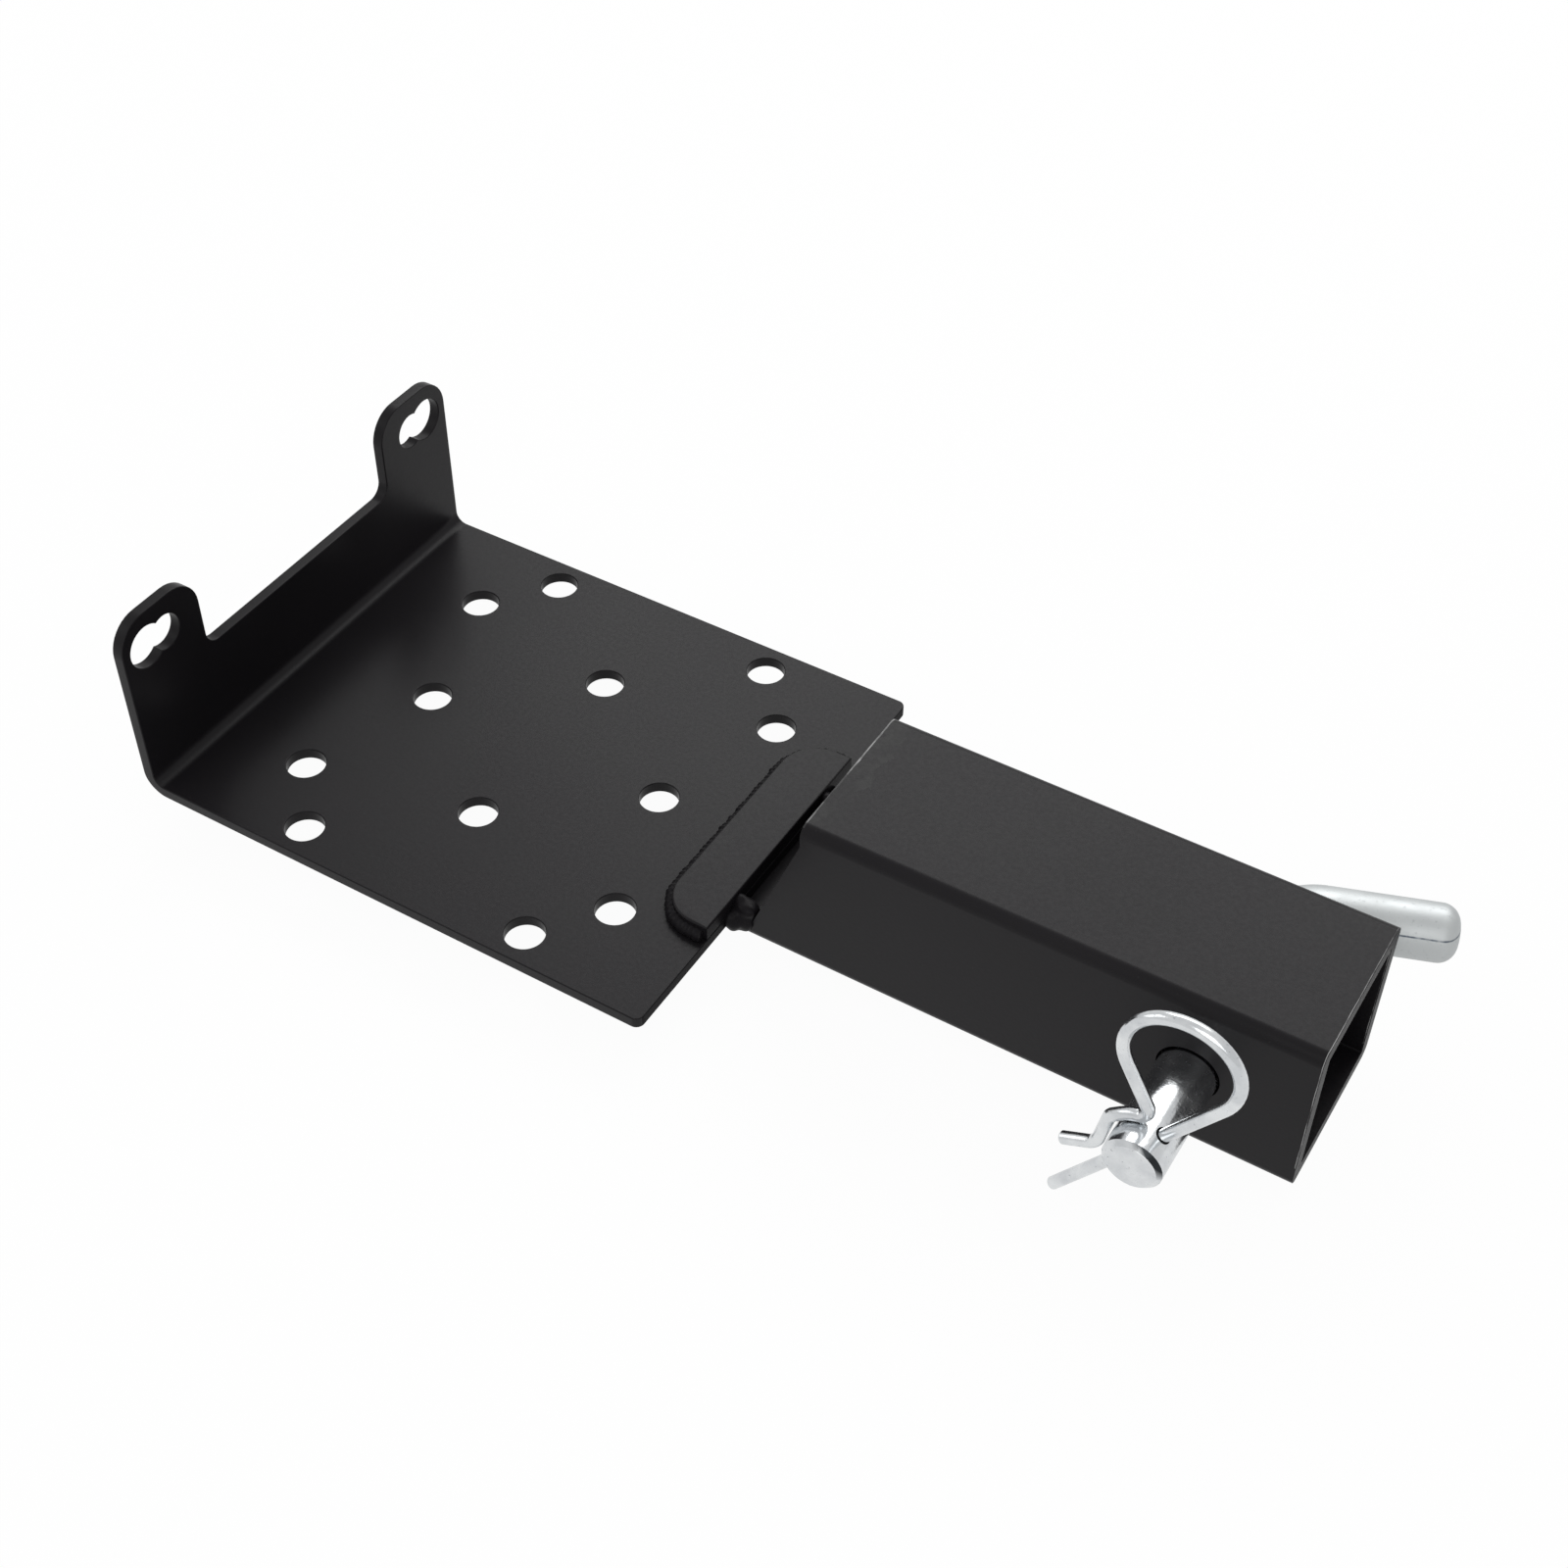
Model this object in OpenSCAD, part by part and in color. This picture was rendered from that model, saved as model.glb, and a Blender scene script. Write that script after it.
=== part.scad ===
// Hitch-mounted winch plate: a folded drilled plate, a square tube welded under
// its end, a reinforcing strip, weld beads, a bent hitch pin and its hairpin clip.
// Millimetres. Origin: centre of the main bolt pattern on the plate's top face.
// +X runs along the tube to its open end, +Y to the side, +Z up.

/* [Plate] */
// Thickness of the folded sheet
sheet = 3.5; // [3.2:0.1:3.9]
// Plate length from the flange's outer face to the welded end
plate_length = 170; // [168:0.5:174]
// Plate width
plate_width = 143; // [140:0.5:148]
// Corner radius at the plate's welded end
plate_corner = 2.5; // [2:0.5:8]
// Inside radius of the fold
fold_inside = 3.5; // [2.5:0.1:4.5]
// Distance from the flange's outer face to the bolt pattern's centre
pattern_setback = 88.5; // [87.5:0.25:89]

/* [Flange] */
// Top edge of the flange above the plate's top face
flange_height = 30; // [28:0.5:32]
// Top of the two ears above the plate's top face
ear_height = 57; // [56:0.5:60]
// Distance from the middle to each ear's inner side
ear_inner = 41; // [39:0.5:42]
// Radius of the ears' top corners
ear_corner = 10; // [8:0.5:10.5]
// Fillet between the flange's top edge and each ear
ear_root = 4.5; // [3.5:0.25:5.5]
// Distance from the middle to each ear opening's wide end
fairlead_half = 61.9; // [61.5:0.1:62.5]
// Height of the ear openings' axis
fairlead_z = 45.6; // [44.5:0.1:46.5]
// Radius of each ear opening's wide end
fairlead_r = 6.6; // [6.3:0.1:7]
// Radius of each ear opening's narrow end
fairlead_small_r = 5.5; // [5.2:0.1:5.9]
// Distance between the two ends' centres
fairlead_reach = 7; // [6:0.25:7.5]

/* [Bolt holes] */
// Diameter of the twelve bolt holes
bolt_d = 11.5; // [10.5:0.1:12]
// Main pattern, spacing along the plate
main_along = 76.2; // [75.7:0.1:76.7]
// Main pattern, spacing across the plate
main_across = 123.8; // [123.3:0.1:124.3]
// Second pattern, spacing along the plate
second_along = 108; // [106:0.5:109]
// Second pattern, spacing across the plate
second_across = 84; // [82:0.5:86]
// Pair of holes across the plate, spacing
pair_across = 63.5; // [62:0.5:65]
// Pair of holes along the plate, spacing
pair_along = 81; // [79:0.5:83]

/* [Tube] */
// Outside size of the square tube
tube_size = 50.8; // [50:0.1:51]
// Wall of the tube
tube_wall = 4.8; // [4.4:0.1:5]
// Outside corner radius of the tube
tube_corner = 3.5; // [2.5:0.1:4]
// Distance from the flange's outer face to the tube's open end
tube_reach = 333.5; // [330:0.5:338]
// Gap along X between the plate's end and the toe of the slanted cut
toe_gap = 5.3; // [4.5:0.1:6]
// Distance from the plate's end to the cut across the tube's top wall
top_cut_gap = 20.5; // [19.5:0.25:21.5]
// Straight drop of the cut before it slants
cut_drop = 6.8; // [6:0.1:7.5]
// Length of the tongue under the plate
tongue = 20; // [17:0.5:21]
// Diameter of the pin holes through the tube's sides
pin_hole_d = 17; // [16.8:0.1:17.2]
// Distance from the tube's open end to the pin holes
pin_setback = 31.5; // [29:0.5:34]

/* [Strip and welds] */
// Width of the reinforcing strip along X
strip_width = 16.5; // [15.5:0.25:17]
// Length of the reinforcing strip across the plate
strip_length = 77; // [74:0.5:80]
// Thickness of the reinforcing strip
strip_thick = 4.8; // [4.2:0.1:5.2]
// Corner radius of the strip on the drilled side
strip_corner = 11.5; // [9:0.5:12.5]
// Width of the bead round the strip
strip_bead = 1.8; // [1.4:0.1:2.2]
// Width of the bead round the tongue
tongue_bead = 4; // [3:0.1:5]
// How far the toe welds stand out from the tube's sides
toe_bulge = 1.3; // [1.1:0.1:1.5]
// How far the toe welds run out along the plate's end
toe_wing = 5; // [4:0.25:6]

/* [Hitch pin] */
// Pin diameter
pin_d = 15.9; // [15.6:0.1:16]
// Distance from the tube's middle to the pin's tip
pin_tip = 58.5; // [57:0.5:61]
// Chamfer at the tip
pin_chamfer = 1.2; // [0.8:0.1:2]
// Distance from the tube's middle to the start of the bend
pin_straight = 27.9; // [27.8:0.1:30]
// Centre-line radius of the bend
bend_radius = 14; // [12:0.5:16]
// Angle of the bend
bend_angle = 70; // [60:1:80]
// Handle after the bend
handle = 34.4; // [31:0.2:38]
// Rounding of the handle's end
handle_round = 5; // [3:0.5:7]
// Distance from the tube's middle to the clip's cross hole
clip_out = 50.7; // [50:0.1:51.5]

/* [Hairpin clip] */
// Wire diameter
wire = 3.5; // [3.4:0.1:4]
// Slope of the clip's straight leg above the X axis
leg_slope = 56; // [53:0.5:59]
// Straight leg below the pin's axis
leg_below = 38.2; // [35:0.2:40]
// Straight leg from the pin's axis to the loop
leg_above = 30.8; // [29.6:0.2:32]
// Centre-line radius of the loop
loop_radius = 14.5; // [13.8:0.1:15]
// Centre-line radius of the neck
neck_radius = 3; // [2.6:0.1:3.4]
// Place round the pin where the neck ends
neck_place = 105; // [102:1:108]
// Place round the pin where the grip ends
grip_place = 132; // [129:1:135]
// Straight after the grip
grip_run = 2.6; // [2.4:0.1:3.2]
// Centre-line radius of the corner after it
corner_radius = 3; // [2.6:0.1:3.6]
// Turn of that corner
corner_turn = 38; // [34:1:42]
// Straight from the corner to the flare
flare_lead = 9; // [8:0.2:10]
// Centre-line radius of the flare
flare_radius = 5; // [4:0.5:6]
// Turn of the flare
flare_turn = 54; // [48:1:60]
// Straight end of the flare
flare_end = 7.6; // [6.6:0.2:8.6]

/* [Clearances] */
// Radial gap between wire and cross hole
cross_gap = 0.4; // [0.35:0.05:0.6]
// Gap between the clip's grip and the pin
grip_gap = 0.35; // [0.3:0.05:0.5]

/* [Hidden] */
$fn = 96;
e = 1;
// The bent rods' straight and round runs meet in thin collars this much larger.
join = 1.025;
half_w = plate_width / 2;
face_x = -pattern_setback;
end_x = face_x + plate_length;
fold_r = sheet + fold_inside;
fold_x = face_x + fold_r;

tube_x = face_x + tube_reach;
tube_low = -sheet - tube_wall;
tube_top = tube_low + tube_size;
tube_mid = (tube_low + tube_top) / 2;
tube_half = tube_size / 2;
tongue_x = end_x - tongue;
toe_x = end_x + toe_gap;
top_x = end_x + top_cut_gap;
bore_corner = max(0.5, tube_corner - tube_wall);

pin_x = tube_x - pin_setback;
pin_r = pin_d / 2;
cross_d = wire + 2 * cross_gap;
// The toe welds: reach under the plate, depth below it, lip past the cut's toe,
// step down from the strip's top, and gap to the tongue's beads.
toe_start = 3.6;
toe_depth = 4.1;
toe_lip = 2.2;
toe_step = 0.8;
toe_clear = 0.4;
// Overlap with which the beads are cut back to the tube's walls.
bite = 2;

strip_x = end_x - strip_width;
strip_half = strip_length / 2;

grip_r = pin_r + wire / 2 + grip_gap;
leg_dir = [cos(leg_slope), sin(leg_slope)];
loop_at = leg_above * leg_dir + loop_radius * [-sin(leg_slope), cos(leg_slope)];
neck_at = (grip_r + neck_radius) * [cos(neck_place), sin(neck_place)];
span = neck_at - loop_at;
neck_run = sqrt(span * span - pow(loop_radius + neck_radius, 2));
neck_heading = atan2(span[1], span[0]) + atan2(loop_radius + neck_radius, neck_run) + 360;
grip_heading = neck_place + 90;

// Each move is [straight length, turn radius, turn angle], left turns positive.
moves = [
  [leg_below + leg_above, loop_radius, neck_heading - leg_slope],
  [neck_run, neck_radius, grip_heading - neck_heading],
  [0, grip_r, grip_place - neck_place],
  [grip_run, corner_radius, corner_turn],
  [flare_lead, flare_radius, -flare_turn],
  [flare_end, 0, 0]
];

powder = [0.16, 0.16, 0.17];
bead_grey = [0.2, 0.2, 0.21];
zinc = [0.8, 0.82, 0.85];

// Turns a drawing made in X and Z into a solid from y0 to y1.
module across(y0, y1) {
  translate([0, y1, 0]) rotate([90, 0, 0]) linear_extrude(y1 - y0) children();
}

// Turns a drawing made in Y and Z into a solid from x0 to x1.
module along(x0, x1) {
  translate([x0, 0, 0]) rotate([90, 0, 90]) linear_extrude(x1 - x0) children();
}

// Joins two runs of a rod that lies along Z here.
module collar(r) {
  cylinder(r = r * join, h = 0.3 * r, center = true);
}

module rounded_square(side, r) {
  square([side, side - 2 * r], center = true);
  square([side - 2 * r, side], center = true);
  for (i = [-1, 1], j = [-1, 1])
    translate([i * (side / 2 - r), j * (side / 2 - r)]) circle(r);
}

// A band from x0 to x1 whose right corners are square and left ones round.
module left_round(x0, x1, half, r) {
  translate([x0 + r, -half]) square([x1 - x0 - r, 2 * half]);
  translate([x0, r - half]) square([x1 - x0, 2 * (half - r)]);
  intersection() {
    for (j = [-1, 1]) translate([x0 + r, j * (half - r)]) circle(r);
    translate([x0, -half]) square([min(r, x1 - x0), 2 * half]);
  }
}

module hole_rectangle(a, b) {
  for (i = [-1, 1], j = [-1, 1]) hole(i * a / 2, j * b / 2);
}

module hole(x, y) {
  translate([x, y, -sheet - e]) cylinder(d = bolt_d, h = sheet + 2 * e);
}

module deck() {
  translate([0, 0, -sheet]) linear_extrude(sheet)
    mirror([1, 0]) left_round(-end_x, -fold_x, half_w, plate_corner);
}

module fold() {
  intersection() {
    translate([fold_x, -half_w, fold_inside]) rotate([-90, 0, 0])
      difference() {
        cylinder(r = fold_r, h = plate_width);
        translate([0, 0, -e]) cylinder(r = fold_inside, h = plate_width + 2 * e);
      }
    translate([face_x, -half_w, -sheet]) cube([fold_r, plate_width, fold_r]);
  }
}

module ear() {
  ear_w = half_w - ear_inner;
  translate([ear_inner, flange_height - e])
    square([ear_w, ear_height - ear_corner - flange_height + e]);
  translate([ear_inner + ear_corner, flange_height])
    square([ear_w - 2 * ear_corner, ear_height - flange_height]);
  for (y = [ear_inner + ear_corner, half_w - ear_corner])
    translate([y, ear_height - ear_corner]) circle(ear_corner);
  difference() {
    translate([ear_inner - ear_root, flange_height - e])
      square([ear_root + e, ear_root + e]);
    translate([ear_inner - ear_root, flange_height + ear_root]) circle(ear_root);
  }
}

module ear_opening() {
  translate([fairlead_half, fairlead_z]) {
    circle(fairlead_r);
    translate([-fairlead_reach, 0]) circle(fairlead_small_r);
  }
}

module flange() {
  along(face_x, face_x + sheet) difference() {
    union() {
      translate([-half_w, fold_inside]) square([plate_width, flange_height - fold_inside]);
      ear();
      mirror([1, 0]) ear();
    }
    ear_opening();
    mirror([1, 0]) ear_opening();
  }
}

module mounting_plate() {
  color(powder) difference() {
    union() {
      deck();
      fold();
      flange();
    }
    hole_rectangle(main_along, main_across);
    hole_rectangle(second_along, second_across);
    for (i = [-1, 1]) {
      hole(0, i * pair_across / 2);
      hole(i * pair_along / 2, 0);
    }
  }
}

module tube_bar() {
  translate([0, 0, tube_mid]) along(tongue_x, tube_x) rounded_square(tube_size, tube_corner);
}

module slant_cut() {
  across(-tube_size, tube_size) polygon([
    [tongue_x - e, -sheet],
    [toe_x, -sheet],
    [top_x, tube_top - cut_drop],
    [top_x, tube_top + e],
    [tongue_x - e, tube_top + e]
  ]);
}

module receiver_tube() {
  color(powder) difference() {
    tube_bar();
    translate([0, 0, tube_mid]) along(tongue_x - e, tube_x + e)
      rounded_square(tube_size - 2 * tube_wall, bore_corner);
    slant_cut();
    translate([pin_x, -tube_size, tube_mid]) rotate([-90, 0, 0])
      cylinder(d = pin_hole_d, h = 2 * tube_size);
  }
}

module reinforcing_strip() {
  color(powder) linear_extrude(strip_thick)
    left_round(strip_x, end_x, strip_half, strip_corner);
}

// Section of the bead round the strip, starting at the strip's side.
module strip_section() {
  polygon([
    [0, 0],
    [strip_bead, 0],
    [0.72 * strip_bead, 0.5 * strip_thick],
    [0.3 * strip_bead, 0.82 * strip_thick],
    [0, 0.9 * strip_thick]
  ]);
}

module strip_weld() {
  run = end_x - strip_x - strip_corner;
  color(bead_grey) union() {
    across(strip_corner - strip_half, strip_half - strip_corner)
      translate([strip_x, 0]) mirror([1, 0]) strip_section();
    for (j = [0, 1]) mirror([0, j, 0]) {
      along(end_x - run, end_x) translate([strip_half, 0]) strip_section();
      translate([strip_x + strip_corner, strip_half - strip_corner, 0])
        rotate([0, 0, 90]) rotate_extrude(angle = 90)
          translate([strip_corner, 0]) strip_section();
    }
  }
}

module tongue_side_bead() {
  along(tongue_x, end_x - toe_start) polygon([
    [tube_half - bite, -sheet],
    [tube_half + tongue_bead, -sheet],
    [tube_half + 0.55 * tongue_bead, -sheet - 0.4 * tube_wall],
    [tube_half, -sheet - 0.6 * tube_wall],
    [tube_half - bite, -sheet - 0.6 * tube_wall]
  ]);
}

module tongue_weld() {
  color(bead_grey) difference() {
    union() {
      tongue_side_bead();
      mirror([0, 1, 0]) tongue_side_bead();
      across(-tube_half, tube_half) polygon([
        [tongue_x + e, -sheet],
        [tongue_x - tongue_bead, -sheet],
        [tongue_x - 0.6 * tongue_bead, -sheet - 0.5 * tube_wall],
        [tongue_x, -sheet - 0.8 * tube_wall],
        [tongue_x + e, -sheet - 0.8 * tube_wall]
      ]);
      for (j = [-1, 1]) translate([tongue_x, j * tube_half, -sheet])
        mirror([0, 0, 1]) cylinder(r1 = tongue_bead, r2 = 0.3 * tongue_bead, h = 0.6 * tube_wall);
    }
    tube_bar();
  }
}

// The toe weld's outline beside the tube's wall.
module toe_profile() {
  polygon([
    [end_x - toe_start + toe_clear, -sheet],
    [end_x - toe_start + 1.5 * toe_clear, -sheet - 0.6 * toe_depth],
    [end_x - 0.3 * toe_start, -sheet - toe_depth],
    [end_x + 0.5 * toe_start, -sheet - 0.8 * toe_depth],
    [toe_x + toe_clear, -0.7 * sheet],
    [toe_x + toe_lip, strip_thick - toe_lip],
    [toe_x + toe_lip - toe_clear, strip_thick - toe_step],
    [end_x, strip_thick - toe_step]
  ]);
}

// The fillet between the plate's end and the tube's side, seen from above.
module toe_fillet() {
  polygon([
    [end_x, -tube_half - toe_wing],
    [end_x + 0.3 * toe_wing, -tube_half - 0.85 * toe_wing],
    [toe_x + toe_clear, -tube_half - 0.4 * toe_wing],
    [toe_x + toe_lip, -tube_half],
    [toe_x + toe_lip, bite - tube_half],
    [end_x, bite - tube_half]
  ]);
}

// Fills the gap between the plate's end and one side wall of the tube.
module toe_weld() {
  difference() {
    union() {
      across(-tube_half - toe_bulge, tube_wall - tube_half + toe_step) toe_profile();
      translate([0, 0, -sheet - 0.85 * toe_depth])
        linear_extrude(0.85 * toe_depth + sheet + strip_thick - toe_lip) toe_fillet();
    }
    translate([strip_x, -half_w, -sheet])
      cube([strip_width, plate_width, sheet + strip_thick]);
    difference() {
      tube_bar();
      slant_cut();
    }
  }
}

module toe_weld_front() {
  color(bead_grey) toe_weld();
}

module toe_weld_back() {
  color(bead_grey) mirror([0, 1, 0]) toe_weld();
}

// Half of the handle's section, with its rounded end.
module handle_profile() {
  square([pin_r, handle - handle_round]);
  square([pin_r - handle_round, handle]);
  translate([pin_r - handle_round, handle - handle_round]) intersection() {
    circle(handle_round);
    square(handle_round);
  }
}

module hitch_pin() {
  color(zinc) difference() {
    translate([pin_x, 0, tube_mid]) union() {
      translate([0, -pin_tip, 0]) rotate([-90, 0, 0]) rotate_extrude() polygon([
        [0, 0],
        [pin_r - pin_chamfer, 0],
        [pin_r, pin_chamfer],
        [pin_r, pin_tip + pin_straight],
        [0, pin_tip + pin_straight]
      ]);
      translate([0, pin_straight, 0]) rotate([90, 0, 0]) collar(pin_r);
      translate([bend_radius, pin_straight, 0]) rotate([0, 0, 180 - bend_angle])
        rotate_extrude(angle = bend_angle) translate([bend_radius, 0]) circle(pin_r);
      translate([bend_radius * (1 - cos(bend_angle)),
        pin_straight + bend_radius * sin(bend_angle), 0])
        rotate([-90, 0, -bend_angle]) {
          collar(pin_r);
          rotate_extrude() handle_profile();
        }
    }
    translate([pin_x, -clip_out, tube_mid]) rotate([0, 90 - leg_slope, 0])
      cylinder(d = cross_d, h = 3 * pin_d, center = true);
  }
}

// Draws the wire move by move: straight along +X, then the turn.
module wire_path(list, i) {
  if (i < len(list)) {
    run = list[i][0];
    r = list[i][1];
    turn = list[i][2];
    side = turn < 0 ? -1 : 1;
    if (run > 0) rotate([0, 90, 0]) cylinder(d = wire, h = run);
    if (run > 0 && i > 0) rotate([0, 90, 0]) collar(wire / 2);
    translate([run, 0, 0]) {
      if (i < len(list) - 1) rotate([0, 90, 0]) collar(wire / 2);
      if (r > 0) translate([0, side * r, 0]) rotate([0, 0, side > 0 ? -90 : 90 + turn])
        rotate_extrude(angle = abs(turn)) translate([r, 0]) circle(d = wire);
      translate([0, side * r, 0]) rotate([0, 0, turn]) translate([0, -side * r, 0])
        wire_path(list, i + 1);
    }
  }
}

module hairpin_clip() {
  color(zinc) translate([pin_x, -clip_out, tube_mid])
    rotate([0, -leg_slope, 0]) translate([-leg_below, 0, 0])
      rotate([90, 0, 0]) wire_path(moves, 0);
}

mounting_plate();
receiver_tube();
reinforcing_strip();
strip_weld();
tongue_weld();
toe_weld_front();
toe_weld_back();
hitch_pin();
hairpin_clip();
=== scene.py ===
import math

import bmesh
import bpy
from mathutils import Matrix, Vector, noise


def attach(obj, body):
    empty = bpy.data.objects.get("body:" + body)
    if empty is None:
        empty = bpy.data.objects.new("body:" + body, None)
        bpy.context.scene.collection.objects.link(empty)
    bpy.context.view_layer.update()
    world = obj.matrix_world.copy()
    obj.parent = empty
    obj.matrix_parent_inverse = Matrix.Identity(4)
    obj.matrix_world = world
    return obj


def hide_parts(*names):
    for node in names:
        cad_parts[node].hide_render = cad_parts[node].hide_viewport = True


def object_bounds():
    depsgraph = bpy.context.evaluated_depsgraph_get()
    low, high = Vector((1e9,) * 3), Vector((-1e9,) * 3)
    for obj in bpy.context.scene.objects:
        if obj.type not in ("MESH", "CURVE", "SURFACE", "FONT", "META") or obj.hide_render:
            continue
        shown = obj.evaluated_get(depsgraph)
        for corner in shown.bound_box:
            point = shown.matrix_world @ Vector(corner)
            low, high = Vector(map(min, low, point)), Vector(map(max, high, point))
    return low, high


# Hitch winch mount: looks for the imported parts. Sizes are in millimetres and are
# turned to metres by mm. The origin is the middle of the main bolt pattern.
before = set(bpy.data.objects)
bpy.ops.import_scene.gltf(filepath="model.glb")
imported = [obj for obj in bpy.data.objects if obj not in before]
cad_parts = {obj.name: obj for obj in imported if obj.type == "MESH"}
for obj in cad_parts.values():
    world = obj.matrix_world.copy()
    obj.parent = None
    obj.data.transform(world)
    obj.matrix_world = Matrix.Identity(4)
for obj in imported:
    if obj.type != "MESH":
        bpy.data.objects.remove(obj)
cadLow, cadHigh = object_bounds()
mm = 0.001

plate = {
    "sheet": 3.5, "width": 143, "end": 81.5, "cornerRadius": 2.5,
    "face": -88.5, "insideRadius": 3.5, "foldSteps": 16,
    "flangeTop": 30, "earTop": 57, "earInner": 41, "earCorner": 10, "earRoot": 4.5,
    "slotOut": 61.9, "slotHeight": 45.6, "slotRadius": 6.6, "slotReach": 7, "slotSmallRadius": 5.5,
    "boltDiameter": 11.5, "edge": 0.3,
    "rectangles": [(76.2, 123.8), (108, 84)], "pairs": [(0, 63.5), (81, 0)],
}
tube = {
    "size": 50.8, "wall": 4.8, "corner": 3.5, "end": 245, "tongueStart": 61.5,
    "toe": 86.8, "topCut": 102, "cutDrop": 6.8, "pinHole": 17, "pinX": 213.5, "edge": 0.35,
    # Lines of rubbed-off coat along the tube's edges, lightened as painted highlight.
    "rubbedAndHighlit": [(105.6, 42.2, 3.4, 0.017), (102.1, 41.9, 0.35, 0.3), (244.72, 0, 0.1, 0.3)],
}
strip = {"width": 16.5, "length": 77, "thickness": 4.8, "corner": 11.5, "edge": 0.55}
beads = {
    "stripRadius": 2.3, "tongueRadius": 2.5, "rippleLength": 1.7, "ripple": 0.07,
    "lumpiness": 0.3, "step": 0.45, "swell": 0.11,
    "blobVoxel": 0.45, "blobSmooth": 10, "blobSkin": 0.16,
}
pin = {
    "diameter": 15.9, "tip": 58.5, "chamfer": 1.2, "straight": 27.9, "bendRadius": 14,
    "bendAngle": 70, "handle": 34.4, "handleRound": 5, "crossHole": 4.3, "clipOut": 50.7,
    # Where the handle's painted shade starts, and the height of its painted dark reflection line.
    "shadeFrom": 24, "reflectionHeight": 21.1, "capSteps": 12,
}
clip = {
    "wire": 3.5, "slope": 56, "below": 38.2, "above": 30.8, "loopRadius": 14.5,
    "neckRadius": 3, "neckPlace": 105, "gripPlace": 132, "gripGap": 0.35, "gripRun": 2.6,
    "cornerRadius": 3, "cornerTurn": 38, "leadStraight": 9, "flareRadius": 5, "flareTurn": 54,
    "flareEnd": 7.6, "endRound": 0.5, "endFactor": 0.78,
}
finish = {
    "coatDark": (0.006, 0.0054, 0.0063), "coatLight": (0.0098, 0.0088, 0.0102),
    "dust": (0.04, 0.038, 0.04), "zincDark": (0.64, 0.66, 0.68), "zincLight": (0.80, 0.82, 0.83),
    # The handle's painted shade tone and its painted dark reflection line.
    "pits": (0.30, 0.31, 0.34), "handleShadeZinc": (0.47, 0.49, 0.49), "handleReflectionLine": (0.10, 0.12, 0.15),
    "tipShade": (0.03, 0.033, 0.036), "tipFrom": 6.5, "tipFull": 9.5, "tipFace": 0.04,
    "coatRelief": 0.3, "weldRelief": 0.35, "zincRelief": 0.25,
    "coatSheen": 0.15, "endSheen": 0.02, "weldSheen": 0.07, "weldPeel": 1.4, "reliefDepth": 0.05,
}
camera = {
    "place": (307.71, -376.38, 463.19), "right": (0.85438, 0.51961, 0.00625),
    "up": (-0.3701, 0.60002, 0.70923), "lens": 52.54, "sensor": 36,
}
studio = {
    "floorSize": 6, "white": 1.0, "fill": 0.6, "floorSheen": 0.88, "skySheen": 0.75, "clear": 0.96,
    "back": {"place": (-240, 1400, 1400), "size": (1.9, 1.0), "power": 18.5, "aim": (60, 0, 0)},
    "front": {"place": (700, -1100, 900), "size": (1.0, 1.0), "power": 4, "aim": (100, 0, 0)},
    "left": {"place": (-1200, -500, 700), "size": (0.8, 0.8), "power": 2, "aim": (-80, 0, 0)},
}

tubeLow = -plate["sheet"] - tube["wall"]
tubeMiddle = tubeLow + tube["size"] / 2
pinMiddle = Vector((tube["pinX"], 0, tubeMiddle))
foldX = plate["face"] + plate["sheet"] + plate["insideRadius"]
midRadius = plate["insideRadius"] + plate["sheet"] / 2
foldLength = midRadius * math.pi / 2


def linked(name, data):
    thing = bpy.data.objects.new(name, data)
    bpy.context.scene.collection.objects.link(thing)
    return thing


def meshOf(name, bm):
    mesh = bpy.data.meshes.new(name)
    bm.to_mesh(mesh)
    bm.free()
    return mesh


def newPiece(name, mesh, smoothAngle=22):
    piece = linked(name, mesh)
    mesh.shade_smooth()
    mesh.set_sharp_from_angle(angle=math.radians(smoothAngle))
    return piece


def applied(piece):
    # The piece's mesh with its modifiers in it.
    graph = bpy.context.evaluated_depsgraph_get()
    mesh = bpy.data.meshes.new_from_object(piece.evaluated_get(graph))
    piece.modifiers.clear()
    piece.data = mesh
    return piece


def curveMesh(name, curve):
    # A curve made into a mesh, with its loose rims merged.
    holder = linked(name + "Curve", curve)
    graph = bpy.context.evaluated_depsgraph_get()
    mesh = bpy.data.meshes.new_from_object(holder.evaluated_get(graph))
    bpy.data.objects.remove(holder)
    bm = bmesh.new()
    bm.from_mesh(mesh)
    bmesh.ops.remove_doubles(bm, verts=bm.verts, dist=0.002 * mm)
    bmesh.ops.recalc_face_normals(bm, faces=bm.faces)
    bm.to_mesh(mesh)
    bm.free()
    mesh.name = name
    return mesh


def arc(centre, radius, start, end, steps=10):
    # Points on an arc, angles in degrees.
    out = []
    for k in range(steps + 1):
        a = math.radians(start + (end - start) * k / steps)
        out.append((centre[0] + radius * math.cos(a), centre[1] + radius * math.sin(a)))
    return out


def circle(centre, radius, steps=48):
    return arc(centre, radius, 0, 360, steps)[:-1]


def cutSheet(name, loops, thickness, edge):
    # A flat blank with its outline and holes, its rims rounded, its top at z = 0.
    curve = bpy.data.curves.new(name, "CURVE")
    curve.dimensions = "2D"
    curve.fill_mode = "BOTH"
    curve.extrude = (thickness / 2 - edge) * mm
    curve.bevel_depth = edge * mm
    curve.bevel_resolution = 2
    curve.offset = -edge * mm
    for loop in loops:
        spline = curve.splines.new("POLY")
        spline.points.add(len(loop) - 1)
        for point, (x, y) in zip(spline.points, loop):
            point.co = (x * mm, y * mm, 0, 1)
        spline.use_cyclic_u = True
    mesh = curveMesh(name, curve)
    mesh.transform(Matrix.Translation((0, 0, -thickness / 2 * mm)))
    return mesh


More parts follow.
